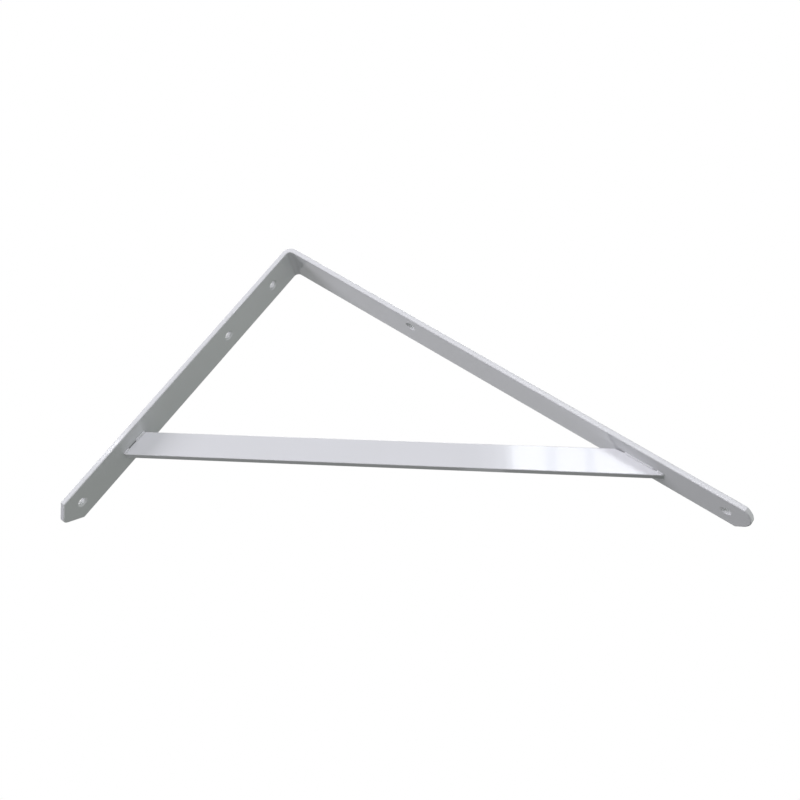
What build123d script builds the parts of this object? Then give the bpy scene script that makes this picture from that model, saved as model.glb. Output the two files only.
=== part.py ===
from build123d import *
import os

# Shelf bracket for a heavy shelf: one flat bar bent to a right angle, stiffened by a diagonal brace bar
# that is mitred to the two arms and welded in place.
# The wall face is X = 0, the shelf face is Z = 0, and the bar's width runs along Y, with its middle at Y = 0.
# All sizes are in millimetres.

# Flat bar of the bent strap
bar_width = 31.75
bar_thickness = 4.0
bar_edge_radius = 0.8
bend_inner_radius = 4.0

# Wall arm, measured down from the shelf face; its free end is clipped more at the back than at the front
wall_arm_length = 272.2
wall_end_front_shoulder = 9.1
wall_end_back_shoulder = 12.0
wall_end_nose_radius = 5.6
wall_end_nose_shift = 0.0
wall_top_hole_drop = 30.3
wall_middle_hole_drop = 85.3
wall_bottom_hole_inset = 19.2

# Shelf arm, measured out from the wall face; its blunt nose and its inner hole are off the middle,
# towards the front edge
shelf_arm_length = 405.2
shelf_end_front_shoulder = 7.6
shelf_end_back_shoulder = 8.4
shelf_end_nose_radius = 18.0
shelf_end_nose_shift = 1.5
shelf_inner_hole_reach = 123.0
shelf_inner_hole_shift = 5.0
shelf_outer_hole_inset = 18.2

# Screw holes, countersunk on the inner faces
screw_hole_diameter = 6.0
countersink_diameter = 8.4
countersink_angle = 90.0

# Diagonal brace: a second flat bar, whose lower edge meets the arms' inner faces at these distances
brace_width = 19.05
brace_thickness = 6.35
brace_edge_radius = 0.5
brace_wall_drop = 207.8
brace_shelf_reach = 341.3
brace_setback = 2.0

# Welds: the mitred ends stand off the arms by a root gap, and stitch beads bridge it.
# The brace's inner corner at the shelf is cut short, so the gap there opens like a wedge.
# A front bead is placed by the distance from its end of the joint and by its length.
wall_root_gap = 0.8
shelf_root_gap = 0.3
shelf_corner_cut_length = 7.0
shelf_corner_cut_depth = 1.0
bead_radius = 1.0
bead_rise = 0.1
wall_upper_bead_inset = 0.3
wall_upper_bead_length = 8.2
wall_lower_bead_inset = 1.0
wall_lower_bead_length = 3.6
shelf_upper_bead_inset = 6.6
shelf_upper_bead_length = 20.8
shelf_lower_bead_inset = 1.8
shelf_lower_bead_length = 3.4
back_bead_inset = 1.0

bend_outer_radius = bend_inner_radius + bar_thickness

# Sketch planes of the arms: local x runs from the corner to the arm's free end, local y across the bar
wall_plane = Plane(origin=(0, 0, 0), x_dir=(0, 0, -1), z_dir=(1, 0, 0))
shelf_plane = Plane(origin=(0, 0, 0), x_dir=(1, 0, 0), z_dir=(0, 0, 1))


def skin_line(depth, radius):
    """Line of one face of the strap, at a depth below the outer faces, with its bend."""
    return FilletPolyline(
        (depth, -wall_arm_length),
        (depth, -depth),
        (shelf_arm_length, -depth),
        radius=radius,
    )


def arm_outline(length, front_shoulder, back_shoulder, nose_radius, nose_shift):
    """Flat outline of an arm: both corners of its free end are clipped down to a round nose."""
    straight = Polyline(
        (0, -bar_width / 2),
        (length - front_shoulder, -bar_width / 2),
        (length - back_shoulder, bar_width / 2),
        (0, bar_width / 2),
        close=True,
    )
    nose = Pos(length - nose_radius, -nose_shift) * Circle(nose_radius)
    return make_hull(straight.edges() + nose.edges())


def countersunk_hole(mouth):
    """Tool for one screw hole, on a plane at the hole's mouth that faces out of the inner face."""
    return mouth * CounterSinkHole(
        radius=screw_hole_diameter / 2,
        counter_sink_radius=countersink_diameter / 2,
        depth=2 * bar_thickness,
        counter_sink_angle=countersink_angle,
    )


def wall_hole(drop):
    return countersunk_hole(Plane(origin=(bar_thickness, 0, -drop), z_dir=(1, 0, 0)))


def shelf_hole(reach, shift):
    return countersunk_hole(Plane(origin=(reach, -shift, -bar_thickness), z_dir=(0, 0, -1)))


def make_bent_strap():
    outer = skin_line(0, bend_outer_radius)
    inner = skin_line(bar_thickness, bend_inner_radius)
    wall_cut = Line(outer @ 0, inner @ 0)
    shelf_cut = Line(outer @ 1, inner @ 1)
    section = make_face(outer.edges() + inner.edges() + [wall_cut, shelf_cut])
    folded = extrude(Plane.XZ * section, amount=bar_width / 2, both=True)

    wall_outline = arm_outline(
        wall_arm_length, wall_end_front_shoulder, wall_end_back_shoulder,
        wall_end_nose_radius, wall_end_nose_shift,
    )
    shelf_outline = arm_outline(
        shelf_arm_length, shelf_end_front_shoulder, shelf_end_back_shoulder,
        shelf_end_nose_radius, shelf_end_nose_shift,
    )
    wall_reach = extrude(wall_plane * wall_outline, amount=bend_outer_radius)
    shelf_reach = extrude(shelf_plane * shelf_outline, amount=-bend_outer_radius)
    strap = folded & (wall_reach + shelf_reach)

    # Both skins are rounded all the way round their rims, as a rolled and tumbled bar is
    flat_skins = strap.faces().filter_by(Plane.YZ) + strap.faces().filter_by(Plane.XY)
    bend_skins = strap.faces().filter_by(GeomType.CYLINDER).filter_by(
        lambda face: abs(face.axis_of_rotation.direction.Y) > 0.99
    )
    skins = flat_skins + bend_skins
    rim = [edge for edge in strap.edges() if sum(edge in skin.edges() for skin in skins) == 1]
    strap = fillet(rim, bar_edge_radius)

    strap -= wall_hole(wall_top_hole_drop)
    strap -= wall_hole(wall_middle_hole_drop)
    strap -= wall_hole(wall_arm_length - wall_bottom_hole_inset)
    strap -= shelf_hole(shelf_inner_hole_reach, shelf_inner_hole_shift)
    strap -= shelf_hole(shelf_arm_length - shelf_outer_hole_inset, 0)
    return strap


# The brace's lower edge, from the wall arm to the shelf arm, and the direction of the bar
brace_start = Vector(bar_thickness, brace_setback, -brace_wall_drop)
brace_end = Vector(brace_shelf_reach, brace_setback, -bar_thickness)
brace_direction = (brace_end - brace_start).normalized()

# Planes that the two mitred ends lie in
wall_mitre_x = bar_thickness + wall_root_gap
shelf_mitre_z = -bar_thickness - shelf_root_gap


def joint_line(at_wall, side):
    """Upper and lower end of a brace joint's root, on the front (-1) or back (+1) face of the brace."""
    y = brace_setback + side * (brace_thickness / 2 + bead_rise)
    slope = brace_direction.Z / brace_direction.X
    if at_wall:
        lower = Vector(bar_thickness + wall_root_gap / 2, y, -brace_wall_drop + wall_root_gap * slope)
        return lower + Vector(0, 0, brace_width / brace_direction.X), lower
    lower = Vector(brace_shelf_reach - shelf_root_gap / slope, y, -bar_thickness - shelf_root_gap / 2)
    return lower - Vector(brace_width / brace_direction.Z, 0, 0), lower


def shelf_corner_cut():
    """Wedge that shortens the brace's inner corner at the shelf, deepest at the corner itself."""
    corner_x = joint_line(False, -1)[0].X
    wedge = Polyline(
        (corner_x - shelf_corner_cut_length, shelf_mitre_z),
        (corner_x + shelf_corner_cut_length, shelf_mitre_z),
        (corner_x - shelf_corner_cut_length, shelf_mitre_z - 2 * shelf_corner_cut_depth),
        close=True,
    )
    return extrude(Plane.XZ * make_face(wedge), amount=bar_width, both=True)


def make_diagonal_brace():
    bar_section = RectangleRounded(
        brace_thickness, brace_width, brace_edge_radius, align=(Align.CENTER, Align.MIN)
    )
    section_plane = Plane(origin=brace_start, x_dir=(0, 1, 0), z_dir=brace_direction)
    bar = extrude(section_plane * bar_section, amount=(brace_end - brace_start).length)
    between_arms = Pos(wall_mitre_x, brace_setback, shelf_mitre_z) * Box(
        shelf_arm_length, bar_width, wall_arm_length, align=(Align.MIN, Align.CENTER, Align.MAX)
    )
    return (bar & between_arms) - shelf_corner_cut()


def bead(start, end, bars):
    """One stitch of weld: a round-ended rod along the joint's root, less the bars that it lies on."""
    along = Plane(origin=start, z_dir=end - start)
    rod = along * Cylinder(bead_radius, (end - start).length, align=(Align.CENTER, Align.CENTER, Align.MIN))
    rod += [Pos(start) * Sphere(bead_radius), Pos(end) * Sphere(bead_radius)]
    return (rod - bars).solid()


def make_weld(at_wall, upper_stitch, lower_stitch, bars):
    """Two front stitches with the gaps between them left open, and one bead along the whole back."""
    upper, lower = joint_line(at_wall, -1)
    down = (lower - upper).normalized()
    inset, length = upper_stitch
    front_upper = bead(upper + down * inset, upper + down * (inset + length), bars)
    inset, length = lower_stitch
    front_lower = bead(lower - down * (inset + length), lower - down * inset, bars)
    back_upper, back_lower = joint_line(at_wall, 1)
    back = bead(back_upper + down * back_bead_inset, back_lower - down * back_bead_inset, bars)
    return Compound([front_upper, front_lower, back])


bent_strap = make_bent_strap()
diagonal_brace = make_diagonal_brace()
bars = [bent_strap, diagonal_brace]
wall_end_weld = make_weld(
    True,
    (wall_upper_bead_inset, wall_upper_bead_length),
    (wall_lower_bead_inset, wall_lower_bead_length),
    bars,
)
shelf_end_weld = make_weld(
    False,
    (shelf_upper_bead_inset, shelf_upper_bead_length),
    (shelf_lower_bead_inset, shelf_lower_bead_length),
    bars,
)

os.makedirs("parts", exist_ok=True)
export_step(bent_strap, "parts/bent_strap.step")
export_step(diagonal_brace, "parts/diagonal_brace.step")
export_step(wall_end_weld, "parts/wall_end_weld.step")
export_step(shelf_end_weld, "parts/shelf_end_weld.step")
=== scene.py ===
# %% [markdown]
# # A welded shelf bracket in baked white enamel
# The real bracket is a flat steel bar bent to a right angle, with a second bar welded across the corner
# as a brace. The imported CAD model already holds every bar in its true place, so this lesson loads it as a
# fixed frame and only adds what the eye meets: the enamel, the ripples of the weld beads, the light and
# the camera.

# %% Load the frame
import math
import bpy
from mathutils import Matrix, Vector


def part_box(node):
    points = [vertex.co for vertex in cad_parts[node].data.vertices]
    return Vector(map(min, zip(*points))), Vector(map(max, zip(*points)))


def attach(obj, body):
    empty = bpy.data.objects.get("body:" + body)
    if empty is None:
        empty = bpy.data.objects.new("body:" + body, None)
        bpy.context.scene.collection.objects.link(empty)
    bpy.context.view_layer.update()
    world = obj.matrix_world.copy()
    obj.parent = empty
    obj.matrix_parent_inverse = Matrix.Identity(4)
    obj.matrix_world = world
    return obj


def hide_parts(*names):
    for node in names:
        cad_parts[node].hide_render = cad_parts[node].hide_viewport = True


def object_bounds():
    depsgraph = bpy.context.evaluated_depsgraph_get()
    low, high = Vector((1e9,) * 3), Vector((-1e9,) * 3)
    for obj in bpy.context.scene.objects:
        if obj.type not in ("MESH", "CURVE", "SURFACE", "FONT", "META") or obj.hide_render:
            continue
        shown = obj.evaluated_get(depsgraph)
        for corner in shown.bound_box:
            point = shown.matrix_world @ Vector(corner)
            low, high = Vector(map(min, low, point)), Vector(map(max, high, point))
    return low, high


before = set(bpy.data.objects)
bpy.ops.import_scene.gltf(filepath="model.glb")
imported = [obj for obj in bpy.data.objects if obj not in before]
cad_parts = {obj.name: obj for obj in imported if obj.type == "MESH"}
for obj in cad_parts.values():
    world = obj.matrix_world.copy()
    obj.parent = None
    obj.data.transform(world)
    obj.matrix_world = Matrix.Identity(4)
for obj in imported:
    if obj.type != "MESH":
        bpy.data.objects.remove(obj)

from types import SimpleNamespace

import bmesh
import bpy
from mathutils import Quaternion, Vector, noise

cad_low, cad_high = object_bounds()
mm = 0.001
print("nodes:", sorted(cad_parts))
print("size in mm:", [round(side / mm, 1) for side in cad_high - cad_low])

# %% [markdown]
# ## Camera
# The bracket was photographed from in front and below, with the camera turned so that the brace runs
# level across the picture. A camera could be turned with Euler angles, but aiming it at a point and then
# rolling it about its own line of sight keeps three decisions apart: where it stands, what it looks at
# and how far it leans.

# %% Camera
camera_place = Vector((0.4166, -0.6556, -0.2771))
camera_aim = Vector((0.1516, 0.0, -0.0571))
camera_lean = math.radians(38.25)
camera_lens_mm = 44.97


def turn_towards(place, aim, lean):
    """Rotation that points an object's -Z axis from a place to an aim, leaned about that line."""
    level = (aim - place).to_track_quat("-Z", "Y")
    return level @ Quaternion((0, 0, 1), lean)


camera = bpy.data.objects.new("camera", bpy.data.cameras.new("camera"))
camera.data.lens = camera_lens_mm
camera.location = camera_place
camera.rotation_mode = "QUATERNION"
camera.rotation_quaternion = turn_towards(camera_place, camera_aim, camera_lean)
bpy.context.scene.collection.objects.link(camera)
bpy.context.scene.camera = camera
bpy.context.scene.view_settings.view_transform = "Standard"
print("camera stands", round((camera_aim - camera_place).length, 3), "m from what it looks at")

# %% [markdown]
# ## Two small helpers for materials
# Colours are easiest to read as the hex values of a paint chart, but shaders work in linear light, so one
# function turns the first into the second. Node trees are long when every node takes five lines, so one
# function adds a node with its settings, its plain socket values and its links in a single call.

# %% Helpers for materials
def paint_colour(hex_value):
    """Linear RGBA of an sRGB hex colour."""
    shares = [int(hex_value[i:i + 2], 16) / 255 for i in (1, 3, 5)]
    linear = [s / 12.92 if s <= 0.04045 else ((s + 0.055) / 1.055) ** 2.4 for s in shares]
    return (*linear, 1.0)


def add_node(tree, kind, links=None, values=None, **settings):
    """Add one node. Settings are its own choices, values its plain inputs, links its inputs from sockets."""
    node = tree.nodes.new(kind)
    for name, value in settings.items():
        setattr(node, name, value)
    for name, value in (values or {}).items():
        node.inputs[name].default_value = value
    for name, socket in (links or {}).items():
        tree.links.new(socket, node.inputs[name])
    return node


print("mid grey of the chart, in linear light:", [round(c, 3) for c in paint_colour("#808080")])

# %% [markdown]
# ## White surroundings
# A catalogue picture has a pure white background, which would flood the bracket with light if it were a
# real glow. Light Path tells the rays apart: the camera and the mirror-like reflections see white, while
# the soft light that reaches the bracket from all around stays low, so that faces turned away from the
# lamps go grey.

# %% World
ambient_colour = paint_colour("#F9FFF7")
ambient_strength = 0.42


def seen_directly(tree):
    """Socket that is 1 for camera, glossy and transmission rays, and 0 for the rays of soft light."""
    path = add_node(tree, "ShaderNodeLightPath")
    camera_or_gloss = add_node(
        tree, "ShaderNodeMath", {0: path.outputs["Is Camera Ray"], 1: path.outputs["Is Glossy Ray"]},
        operation="MAXIMUM",
    )
    any_of_them = add_node(
        tree, "ShaderNodeMath", {0: camera_or_gloss.outputs[0], 1: path.outputs["Is Transmission Ray"]},
        operation="MAXIMUM",
    )
    return any_of_them.outputs[0]


world = bpy.data.worlds.new("white_studio")
world.use_nodes = True
bpy.context.scene.world = world
tree = world.node_tree
tree.nodes.clear()
soft_light = add_node(
    tree, "ShaderNodeBackground", values={"Color": ambient_colour, "Strength": ambient_strength}
)
white_view = add_node(tree, "ShaderNodeBackground", values={"Color": (1, 1, 1, 1), "Strength": 1.0})
sky = add_node(
    tree, "ShaderNodeMixShader",
    {0: seen_directly(tree), 1: soft_light.outputs[0], 2: white_view.outputs[0]},
)
add_node(tree, "ShaderNodeOutputWorld", {"Surface": sky.outputs[0]})
print("soft light from all around:", ambient_strength)

# %% [markdown]
# ## Floor
# The bracket hangs on its wall, well above the floor, and its shadow there is broad and faint. The floor
# is a plain disc that looks white to the camera and still takes the shadow: most of its white is a glow
# that only direct sight meets, and the rest is ordinary paint, which darkens where the lamps are hidden.

# %% Floor
floor_drop = 3.6
floor_radius = 12.0
floor_glow = 0.95
floor_matt = paint_colour("#959595")

floor_mesh = bpy.data.meshes.new("floor")
disc = bmesh.new()
bmesh.ops.create_circle(disc, cap_ends=True, segments=96, radius=floor_radius)
disc.to_mesh(floor_mesh)
disc.free()
floor = bpy.data.objects.new("floor", floor_mesh)
floor.location = (camera_aim.x, 0, -floor_drop)
bpy.context.scene.collection.objects.link(floor)

floor_paint = bpy.data.materials.new("matt_white_floor")
floor_paint.use_nodes = True
tree = floor_paint.node_tree
tree.nodes.clear()
matt = add_node(tree, "ShaderNodeBsdfDiffuse", values={"Color": floor_matt})
glow = add_node(tree, "ShaderNodeEmission", values={"Strength": floor_glow})
direct_glow = add_node(tree, "ShaderNodeMixShader", {0: seen_directly(tree), 2: glow.outputs[0]})
both = add_node(tree, "ShaderNodeAddShader", {0: matt.outputs[0], 1: direct_glow.outputs[0]})
add_node(tree, "ShaderNodeOutputMaterial", {"Surface": both.outputs[0]})
floor_mesh.materials.append(floor_paint)
print("floor lies", floor_drop, "m below the shelf face")

# %% [markdown]
# ## Lamps
# A broad softbox stands low at the left. The wall arm's rim throws a soft shade from it on the wall end
# of the brace, and the underside of the shelf arm stays light. A second softbox in front gives the rest
# of the light. The enamel would mirror it as a white patch, so it is hidden from the gloss, as a
# polarising filter would hide it. A weak fill keeps the back from going dark.

# %% Lamps
def add_softbox(name, place, aim, width, height, radiance, colour):
    """Rectangular lamp. Its power follows from its area and from how bright its cloth looks."""
    lamp = bpy.data.lights.new(name, "AREA")
    lamp.shape = "RECTANGLE"
    lamp.size = width
    lamp.size_y = height
    lamp.energy = radiance * math.pi * width * height
    lamp.color = paint_colour(colour)[:3]
    softbox = bpy.data.objects.new(name, lamp)
    softbox.location = place
    softbox.rotation_mode = "QUATERNION"
    softbox.rotation_quaternion = turn_towards(place, aim, 0)
    softbox.visible_camera = False
    bpy.context.scene.collection.objects.link(softbox)
    print(f"{name}: {lamp.energy:.1f} W over {width:.2f} by {height:.2f} m")
    return softbox


middle = (cad_low + cad_high) / 2
add_softbox(
    "left_softbox", Vector((-3.05, -1.85, -1.30)), middle,
    width=1.70, height=2.00, radiance=7.4, colour="#FBF8FF",
)
front_fill = add_softbox(
    "front_fill", Vector((0.15, -2.40, -0.20)), middle,
    width=1.40, height=1.20, radiance=4.4, colour="#F8F4FF",
)
front_fill.visible_glossy = False
add_softbox(
    "back_fill", Vector((-0.85, 0.95, 1.20)), middle,
    width=1.20, height=1.20, radiance=3.0, colour="#FFFFFF",
)

# %% [markdown]
# ## Cards for the gloss
# What makes enamel look like enamel is what it mirrors, and a photographer builds that with cards: bright
# ones for glare, dark ones because white on white has no outline. A card here is a flat sheet that only
# glossy rays can meet, so it changes the reflections and leaves the light and the shadows to the lamps.

# %% Cards for the gloss
def upright_sheet(left, right, y, low, high):
    """Corners of an upright sheet that faces the bracket."""
    return [(left, y, low), (right, y, low), (right, y, high), (left, y, high)]


def stand_card(name, sheets, glow):
    """Flat four-cornered sheets that only the gloss can see."""
    cut = bmesh.new()
    for corners in sheets:
        cut.faces.new([cut.verts.new(corner) for corner in corners])
    mesh = bpy.data.meshes.new(name)
    cut.to_mesh(mesh)
    cut.free()
    mesh.materials.append(glow)
    card = bpy.data.objects.new(name, mesh)
    bpy.context.scene.collection.objects.link(card)
    card.visible_camera = False
    card.visible_diffuse = False
    card.visible_shadow = False
    print(name, "has", len(mesh.polygons), "sheets")


# %% [markdown]
# ## Glow of the cards
# A card gives off its own even light, so its brightness in the enamel doesn't hang on any lamp. Where a
# real wall would get duller with distance, a colour ramp along one axis does the same, and its stops are
# places in metres, so that they can be read against the bracket.

# %% Glow of the cards
def make_glow(name, colour, strength=1.0):
    """Even glow for a card, and the node that gives it."""
    glow = bpy.data.materials.new(name)
    glow.use_nodes = True
    glow.node_tree.nodes.clear()
    light = add_node(
        glow.node_tree, "ShaderNodeEmission", values={"Color": paint_colour(colour), "Strength": strength}
    )
    add_node(glow.node_tree, "ShaderNodeOutputMaterial", {"Surface": light.outputs[0]})
    print(name, "glows at", strength, "times white")
    return glow, light


def fade_glow(glow, light, axis, stops):
    """Let a glow change colour along an axis. Each stop is a place in metres and the colour there."""
    tree = glow.node_tree
    place = add_node(tree, "ShaderNodeTexCoord").outputs["Object"]
    parts = add_node(tree, "ShaderNodeSeparateXYZ", {"Vector": place})
    first, last = stops[0][0], stops[-1][0]
    share = add_node(
        tree, "ShaderNodeMapRange", {"Value": parts.outputs[axis]}, {"From Min": first, "From Max": last}
    )
    fade = add_node(tree, "ShaderNodeValToRGB", {"Fac": share.outputs[0]})
    colours = fade.color_ramp.elements
    colours[0].color = paint_colour(stops[0][1])
    colours[1].color = paint_colour(stops[-1][1])
    for at, colour in stops[1:-1]:
        colours.new((at - first) / (last - first)).color = paint_colour(colour)
    tree.links.new(fade.outputs["Color"], light.inputs["Color"])


# %% [markdown]
# ## Window
# Enamel mirrors only about 4 % of what it sees square on, so the outer end of the brace goes white only
# where it faces a bright window behind the camera. A lamp could stand there, but an area lamp is always a
# rectangle or an ellipse, and the sides of the glare stand square to the slanting bar, so the three panes
# are sheets that lean to suit. Daylight spreads round the glazing bars and makes them pale, so a sheet
# that is only a little dimmer stands behind the panes. It also spreads on to the frame at the left, where
# three strips make the glare set in by steps.

# %% Window
window_y = -1.12
bars_y = -1.122
window_low, window_high = 0.20, 0.443
window_lean = math.tan(math.radians(36.6))
# Left and right sides are given where they would cross the height of the shelf face
pane_sides = [(0.207, 0.2862), (0.3123, 0.3775), (0.3992, 0.553)]
# Name, left side, right side and strength of each strip
frame_strips = [
    ("frame_outer", 0.130, 0.165, 1.6),
    ("frame_middle", 0.165, 0.191, 2.6),
    ("frame_inner", 0.191, 0.207, 4.6),
]


def leaning_sheet(left, right, y):
    """Corners of a sheet as high as the window, with sides that lean."""
    corners = [(left, window_low), (right, window_low), (right, window_high), (left, window_high)]
    return [(x - window_lean * z, y, z) for x, z in corners]


daylight, _ = make_glow("daylight", "#F8FBFF", strength=9.0)
stand_card("window_panes", [leaning_sheet(left, right, window_y) for left, right in pane_sides], daylight)
pale_bars, _ = make_glow("pale_bars", "#EEF4FF", strength=7.2)
stand_card("window_bars", [leaning_sheet(pane_sides[0][0], pane_sides[-1][1], bars_y)], pale_bars)
for name, left, right, strength in frame_strips:
    strip_glow, _ = make_glow(name, "#F0F6FF", strength)
    stand_card(name, [leaning_sheet(left, right, window_y)], strip_glow)

# %% [markdown]
# ## Side window
# A second, small window far to the left puts one short glare on the front edge of the wall arm, beside
# the brace. A lamp would put it there too, but it would also light the faces next to it. The glare has
# soft ends, so the glow of the card fades towards the top and the bottom.

# %% Side window
side_low, side_high = -0.145, -0.035
side_fade = [(side_low, "#5C5C5C"), (-0.10, "#FFFFFF"), (-0.08, "#FFFFFF"), (side_high, "#5C5C5C")]
side_sheet = upright_sheet(left=-0.716, right=-0.704, y=window_y, low=side_low, high=side_high)

side_window, side_light = make_glow("side_window", "#FFFFFF", strength=9.0)
fade_glow(side_window, side_light, "Z", side_fade)
stand_card("side_window", [side_sheet], side_window)

# %% [markdown]
# ## Wall beside the window
# The rest of the brace mirrors what lies beside the window: a wall that is dull at the far end and paler
# near the panes. A duller world would dim every face at once, so a card stands only where the brace
# looks. It is never brighter than the white surroundings, so that it burns out no face in the other
# views.

# %% Wall beside the window
wall_fade = [(-0.69, "#A0A0A4"), (-0.05, "#F4F4FF")]
wall_sheet = upright_sheet(left=-0.69, right=0.60, y=-1.13, low=-0.45, high=0.46)

window_wall, wall_light = make_glow("window_wall", "#FFFFFF")
fade_glow(window_wall, wall_light, "X", wall_fade)
stand_card("window_wall", [wall_sheet], window_wall)

# %% [markdown]
# ## Light rail
# The front edge of the shelf arm is a little paler than the brace. It looks just above the window, so a
# thin rail of light hangs there, brightest over the window's left side. A broad card would do the same
# for the edge, but seen from behind it would burn out the top of the arm.

# %% Light rail
rail_fade = [(-0.72, "#C4C4C8"), (-0.25, "#D4D4D8"), (-0.08, "#FFFFFF"), (0.36, "#E0E0E4")]
rail_sheet = upright_sheet(left=-0.72, right=0.40, y=window_y, low=0.455, high=0.4735)

light_rail, rail_light = make_glow("light_rail", "#FFFFFF", strength=4.0)
fade_glow(light_rail, rail_light, "X", rail_fade)
stand_card("light_rail", [rail_sheet], light_rail)

# %% [markdown]
# ## Shade cards and light strip
# A dark card behind the bracket is what the inner faces and the far rims mirror, so they read as grey
# against the white. Greyer paint would do that as well, but from every side, and the enamel is white. The
# card is lighter at the top, and the wall arm darkens towards its free end as it mirrors the fade. The
# underside of the brace looks at the card's grey foot, and the underside of the shelf arm at a pale strip
# in front of it, which is duller at both ends. A last dark card lies low down, where the clipped end of
# the wall arm looks.

# %% Shade cards and light strip
shade_fade = [(-0.42, "#9A9A9C"), (-0.36, "#1C1C1C"), (0.0, "#1C1C1C"), (0.32, "#A8ABA9")]
shade_sheet = upright_sheet(left=-1.0, right=1.1, y=1.2, low=-1.1, high=0.65)
strip_fade = [(-0.70, "#CDCDCD"), (-0.60, "#FAFAFF"), (0.05, "#FAFAFF"), (0.22, "#D7D7DC")]
strip_sheet = upright_sheet(left=-0.90, right=0.45, y=1.19, low=-0.555, high=-0.445)
low_z = -1.3
low_sheet = [(-1.3, 0.05, low_z), (-0.35, 0.05, low_z), (-0.35, 1.1, low_z), (-1.3, 1.1, low_z)]

shade_card, card_light = make_glow("shade_card", "#FFFFFF")
fade_glow(shade_card, card_light, "Z", shade_fade)
stand_card("shade_card", [shade_sheet], shade_card)
light_strip, strip_light = make_glow("light_strip", "#FFFFFF")
fade_glow(light_strip, strip_light, "X", strip_fade)
stand_card("light_strip", [strip_sheet], light_strip)
low_shade, _ = make_glow("low_shade", "#1C1C1C")
stand_card("low_shade", [low_sheet], low_shade)

# %% [markdown]
# ## Colour of the enamel
# The steel is dipped or sprayed with white enamel and baked, which leaves a hard glossy film. Its white
# drifts by a shade over a few centimetres. Along sharp edges, and in the inner corners that the Bevel node
# rounds too, the white is mixed a shade greyer. This is partly the film, which draws back from an edge and
# is thinner there, and partly painted shade that darkens the rims. A photograph of paint could be wrapped
# round the part, but noise in the part's own millimetres has no seams, and a Bevel node finds the edges by
# itself.

# %% Colour of the enamel
enamel_white = paint_colour("#E4E5E9")
enamel_warm = paint_colour("#E0E1E3")
# Greyer white for the rims and inner corners: thinner film, and painted shade
thin_film_and_rim_shade = paint_colour("#C4C8CC")
film_drift_mm = 45.0
grey_rim_mm = 0.6
grey_rim_share = 0.08


def film_colour(tree, place):
    """Socket with the film's colour: an even white with a faint drift, greyer on the edges from thin film
    and painted shade.
    """
    # The drift keeps a broad face from looking like one flat white
    drift = add_node(
        tree, "ShaderNodeTexNoise", {"Vector": place},
        {"Scale": 1 / (film_drift_mm * mm), "Detail": 3.0, "Roughness": 0.55},
    )
    film = add_node(
        tree, "ShaderNodeMix", {0: drift.outputs["Fac"]}, {6: enamel_white, 7: enamel_warm}, data_type="RGBA"
    )
    # Near an edge the bevelled normal turns away from the face's own. There the white is mixed a shade
    # greyer: thinner film, and painted shade on the rims
    rounded = add_node(tree, "ShaderNodeBevel", values={"Radius": grey_rim_mm * mm}, samples=8)
    surface = add_node(tree, "ShaderNodeNewGeometry")
    agreement = add_node(
        tree, "ShaderNodeVectorMath", {0: rounded.outputs[0], 1: surface.outputs["Normal"]},
        operation="DOT_PRODUCT",
    )
    grey_rim = add_node(
        tree, "ShaderNodeMapRange", {"Value": agreement.outputs["Value"]},
        {"From Min": 0.99, "From Max": 0.80, "To Min": 0.0, "To Max": grey_rim_share},
    )
    # Painted shade, together with the thinner film: the rims are mixed towards the greyer white
    colour = add_node(
        tree, "ShaderNodeMix", {0: grey_rim.outputs[0], 6: film.outputs[2]}, {7: thin_film_and_rim_shade},
        data_type="RGBA",
    )
    return colour.outputs[2]


print("enamel white in linear light:", [round(c, 3) for c in enamel_white[:3]])

# %% [markdown]
# ## Relief of the enamel
# Baked enamel is never a perfect mirror. It dries with a faint orange-peel texture, and it follows the
# slight waves of the rolled bar below it. Both are only thousandths of a millimetre high, which geometry
# would waste its faces on, so two Bump nodes tilt the reflections. The peel also roughens the gloss a
# little.

# %% Relief of the enamel
orange_peel_mm = 2.4
orange_peel_height_mm = 0.0008
bar_wave_mm = 28.0
bar_wave_height_mm = 0.006
gloss_smooth, gloss_rough = 0.03, 0.05


def film_relief(tree, place):
    """Sockets with the film's roughness and its normal."""
    # Orange peel makes the edge of a reflection a little soft
    peel = add_node(
        tree, "ShaderNodeTexNoise", {"Vector": place},
        {"Scale": 1 / (orange_peel_mm * mm), "Detail": 2.0, "Roughness": 0.5},
    )
    gloss = add_node(
        tree, "ShaderNodeMapRange", {"Value": peel.outputs["Fac"]},
        {"From Min": 0.3, "From Max": 0.7, "To Min": gloss_smooth, "To Max": gloss_rough},
    )
    # The waves of the bar bend long reflections slightly
    wave = add_node(
        tree, "ShaderNodeTexNoise", {"Vector": place},
        {"Scale": 1 / (bar_wave_mm * mm), "Detail": 1.0, "Roughness": 0.4},
    )
    bar_wave = add_node(
        tree, "ShaderNodeBump", {"Height": wave.outputs["Fac"]}, {"Distance": bar_wave_height_mm * mm}
    )
    orange_peel = add_node(
        tree, "ShaderNodeBump", {"Height": peel.outputs["Fac"], "Normal": bar_wave.outputs[0]},
        {"Distance": orange_peel_height_mm * mm},
    )
    return gloss.outputs[0], orange_peel.outputs[0]


print("orange peel every", orange_peel_mm, "mm, waves of the bar every", bar_wave_mm, "mm")

# %% [markdown]
# ## Enamel on the bars
# The colour and the relief meet in one Principled shader. The film hides the steel, so nothing of it is
# metallic, and an IOR of 1.5 gives the clear, colourless mirror that lies over the white of any glossy
# enamel. The CAD bars have the right shape as they are, so they only get the material.

# %% Enamel on the bars
enamel_ior = 1.5


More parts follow.
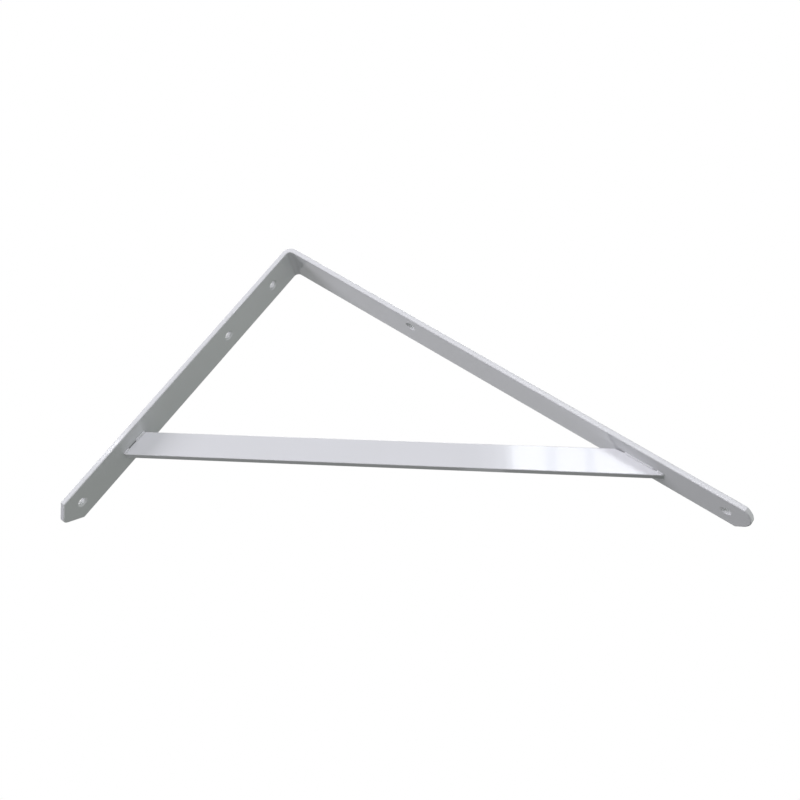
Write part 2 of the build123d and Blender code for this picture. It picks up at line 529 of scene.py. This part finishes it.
def make_baked_enamel(name):
    """Glossy white enamel baked on rolled steel: a white body under a sharp, faintly rippled mirror."""
    enamel = bpy.data.materials.new(name)
    enamel.use_nodes = True
    tree = enamel.node_tree
    tree.nodes.clear()
    place = add_node(tree, "ShaderNodeTexCoord").outputs["Object"]
    colour = film_colour(tree, place)
    roughness, normal = film_relief(tree, place)
    film_shader = add_node(
        tree, "ShaderNodeBsdfPrincipled",
        {"Base Color": colour, "Roughness": roughness, "Normal": normal},
        {"IOR": enamel_ior, "Metallic": 0.0},
    )
    add_node(tree, "ShaderNodeOutputMaterial", {"Surface": film_shader.outputs[0]})
    return enamel


baked_enamel = make_baked_enamel("baked_white_enamel")
for name in ("bent_strap", "diagonal_brace"):
    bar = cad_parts[name]
    bar.data.materials.clear()
    bar.data.materials.append(baked_enamel)
    print(name, "is enamelled:", len(bar.data.polygons), "faces")

# %% [markdown]
# ## Where the weld beads lie
# Each end of the brace is held by short stitches of weld in front and a longer bead behind. The CAD welds
# are plain round rods, which are right in place and size, so each rod is measured here and redrawn with
# its ripples. Separating the rods in Edit Mode would do, but walking from vertex to vertex in a BMesh
# leaves the CAD mesh alone.

# %% Measure the rods
same_point_mm = 0.002


def rods_of(node_name):
    """Lowest and highest corner of each separate rod in a CAD weld, in the same order on every run."""
    welds = bmesh.new()
    welds.from_mesh(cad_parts[node_name].data)
    bmesh.ops.remove_doubles(welds, verts=welds.verts, dist=same_point_mm * mm)
    unseen = set(welds.verts)
    boxes = []
    while unseen:
        group = [unseen.pop()]
        for vert in group:
            for edge in vert.link_edges:
                other = edge.other_vert(vert)
                if other in unseen:
                    unseen.remove(other)
                    group.append(other)
        corners = list(zip(*(vert.co for vert in group)))
        boxes.append((Vector(map(min, corners)), Vector(map(max, corners))))
    welds.free()
    return sorted(boxes, key=lambda box: tuple(box[0]))


for name in ("wall_end_weld", "shelf_end_weld"):
    for low, high in rods_of(name):
        print(name, "rod of", [round(side / mm, 2) for side in high - low], "mm")

# %% [markdown]
# ## Rings of a bead
# A bead is a rod with round ends. A cylinder with two half spheres would need joining, so the bead is
# drawn as one row of rings instead: small rings that grow over the first round end, equal rings along the
# rod, and shrinking ones over the last.

# %% Rings of a bead
ring_spacing_mm = 0.16
cap_rings = 7


def bead_rings(length, radius):
    """Place along the bead and radius of each ring, from one round end to the other."""
    cap = [math.radians(90 * i / cap_rings) for i in range(1, cap_rings)]
    steps = max(2, round(length / (ring_spacing_mm * mm)))
    rings = [(-radius * math.cos(a), radius * math.sin(a)) for a in cap]
    rings += [(length * i / steps, radius) for i in range(steps + 1)]
    return rings + [(length + radius * math.cos(a), radius * math.sin(a)) for a in reversed(cap)]


print("rings every", ring_spacing_mm, "mm, and", cap_rings - 1, "more over each round end")

# %% [markdown]
# ## Seat of a bead
# A bead fills the corner between an arm and the brace. Its box says how thick it is and where it starts
# and ends, and the faces of the two bars say how far it may reach. These measures could be worked out
# again for every point, but one small record of them keeps the next cells short.

# %% Seat of a bead
brace_low, brace_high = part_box("diagonal_brace")


def bead_seat(low, high, out, along):
    """How a rod lies in its joint. out leads off the arm's face, along follows the joint."""
    radius = (high.y - low.y) / 2
    side = -1 if (low.y + high.y) < (brace_low.y + brace_high.y) else 1
    arm_face = min(low.dot(out), high.dot(out))
    return SimpleNamespace(
        out=out,
        along=along,
        off=Vector((0, side, 0)),
        side=side,
        radius=radius,
        middle_y=(low.y + high.y) / 2,
        centre_out=max(low.dot(out), high.dot(out)) - radius,
        arm_face=arm_face,
        brace_face=brace_low.y if side < 0 else brace_high.y,
        root_gap=min(brace_low.dot(out), brace_high.dot(out)) - arm_face,
        start=min(low.dot(along), high.dot(along)) + radius,
        end=max(low.dot(along), high.dot(along)) - radius,
    )


print("front and back of the brace in mm:", round(brace_low.y / mm, 2), round(brace_high.y / mm, 2))

# %% [markdown]
# ## Ripples of a bead
# A welder moves the pool on in small steps, and each step freezes as a crescent, so a bead looks like a
# row of coins pushed over. Under the enamel the crescents are soft but still catch the light. A bump map
# would lose them from the side, so the ripples are real: the rings' radius rises and falls along the
# bead, the crescents bow forward on its crown, and the rod is pressed flat where it lies on the arm and
# on the brace.

# %% Ripples of a bead
ripple_pitch_mm = 1.3
ripple_depth = 0.09
ripple_bow_mm = 0.5
wander_pitch_mm = 6.0
wander_depth = 0.03
crown_angle = math.radians(45)


def rippled_point(seat, s, ring_radius, angle):
    """Point on the rippled rod, pressed on to the arm's face and the brace's face."""
    bow = ripple_bow_mm * mm * math.cos(angle - crown_angle)
    ripple = abs(math.sin(math.pi * (s + bow) / (ripple_pitch_mm * mm)))
    wander = noise.noise(Vector((s / (wander_pitch_mm * mm), seat.start / mm, seat.side)))
    swell = ring_radius * (1 - ripple_depth * (1 - ripple)) * (1 - wander_depth + wander_depth * wander)
    lift = max(seat.centre_out + swell * math.cos(angle), seat.arm_face)
    stand = seat.middle_y * seat.side + swell * math.sin(angle)
    if lift - seat.arm_face > seat.root_gap:
        stand = max(stand, seat.brace_face * seat.side)
    return seat.out * lift + seat.off * stand + seat.along * (seat.start + s)


print("ripples every", ripple_pitch_mm, "mm,", ripple_depth, "of the bead's radius deep")

# %% [markdown]
# ## Skin of a bead
# The rings are joined by four-sided faces, and a pole closes each end with a fan of triangles. A curve
# with a round bevel would make a similar tube, but it would take neither the ripples nor the pressed
# sides.

# %% Skin of a bead
ring_points = 32


def add_bead(mesh, seat):
    """One closed bead, from its first pole to its last."""
    length = seat.end - seat.start
    angles = [math.tau * i / ring_points for i in range(ring_points)]
    rings = []
    for s, ring_radius in bead_rings(length, seat.radius):
        rings.append([mesh.verts.new(rippled_point(seat, s, ring_radius, angle)) for angle in angles])
    for near, far in zip(rings, rings[1:]):
        for i in range(ring_points):
            j = (i + 1) % ring_points
            mesh.faces.new((near[i], near[j], far[j], far[i]))
    for ring, s in ((rings[0], -seat.radius), (rings[-1], length + seat.radius)):
        pole = mesh.verts.new(rippled_point(seat, s, 0.0, 0.0))
        for i in range(ring_points):
            mesh.faces.new((ring[i], ring[(i + 1) % ring_points], pole))
    print("a bead", round((length + 2 * seat.radius) / mm, 1), "mm long has", len(rings), "rings")


# %% [markdown]
# ## Beads in place
# Each stitch could be a piece of its own, but the CAD weld that it stands for is one node, so all
# stitches of a joint make one piece. The piece hides the plain rods, rides on the bracket's only body and
# takes the same enamel as the bars, because the bracket was coated after it was welded.

# %% Beads in place
def make_beads(name, node_name, out, along):
    """All beads of one joint as one piece, standing for the CAD weld."""
    mesh = bmesh.new()
    for low, high in rods_of(node_name):
        add_bead(mesh, bead_seat(low, high, out, along))
    bmesh.ops.recalc_face_normals(mesh, faces=mesh.faces)
    for face in mesh.faces:
        face.smooth = True
    data = bpy.data.meshes.new(name)
    mesh.to_mesh(data)
    mesh.free()
    data.materials.append(baked_enamel)
    beads = bpy.data.objects.new(name, data)
    bpy.context.scene.collection.objects.link(beads)
    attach(beads, "root")
    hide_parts(node_name)
    print(name, "has", len(data.polygons), "faces")


make_beads("wall_end_beads", "wall_end_weld", out=Vector((1, 0, 0)), along=Vector((0, 0, 1)))
make_beads("shelf_end_beads", "shelf_end_weld", out=Vector((0, 0, -1)), along=Vector((1, 0, 0)))
